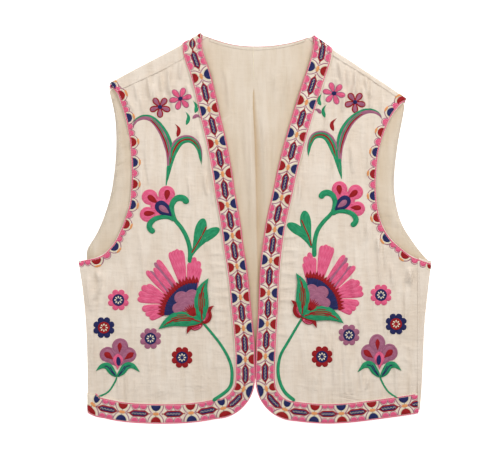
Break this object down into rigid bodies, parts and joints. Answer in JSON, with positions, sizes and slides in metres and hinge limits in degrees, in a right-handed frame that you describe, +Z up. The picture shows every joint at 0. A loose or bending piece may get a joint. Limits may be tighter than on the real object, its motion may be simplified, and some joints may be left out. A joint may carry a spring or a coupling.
{
  "type": "waistcoat",
  "caption": "Sleeveless gauze waistcoat laid flat on its back, with round front corners and embroidered borders round the fronts, hem and neck.",
  "frame": {"origin": "centre of the laid garment's outline, on the surface that it lies on", "axes": "+X towards the right of the laid garment as seen from above, +Y from hem to shoulders, +Z up from the surface"},
  "size_m": [0.5232, 0.5783, 0.0079],
  "materials": {
    "gauze": "matt crinkled cotton gauze",
    "gauze_inside": "matt cotton gauze, inner face",
    "embroidered_border": "dense chain stitch in cotton thread",
    "neck_edge": "matt cotton gauze, folded and stitched",
    "thread_pink": "satin cotton embroidery thread",
    "thread_red": "satin cotton embroidery thread",
    "thread_navy": "satin cotton embroidery thread",
    "thread_mauve": "satin cotton embroidery thread",
    "thread_green": "satin cotton embroidery thread",
    "thread_peach": "satin cotton embroidery thread",
    "thread_cream": "satin cotton embroidery thread"
  },
  "bodies": {
    "root": {"back": "gauze_inside", "shoulder_left": "gauze_inside", "shoulder_right": "gauze_inside", "front_left": "gauze", "front_right": "gauze", "border_left": "embroidered_border", "border_right": "embroidered_border", "neck_border": "embroidered_border", "neck_facing": "neck_edge"}
  },
  "joints": []
}
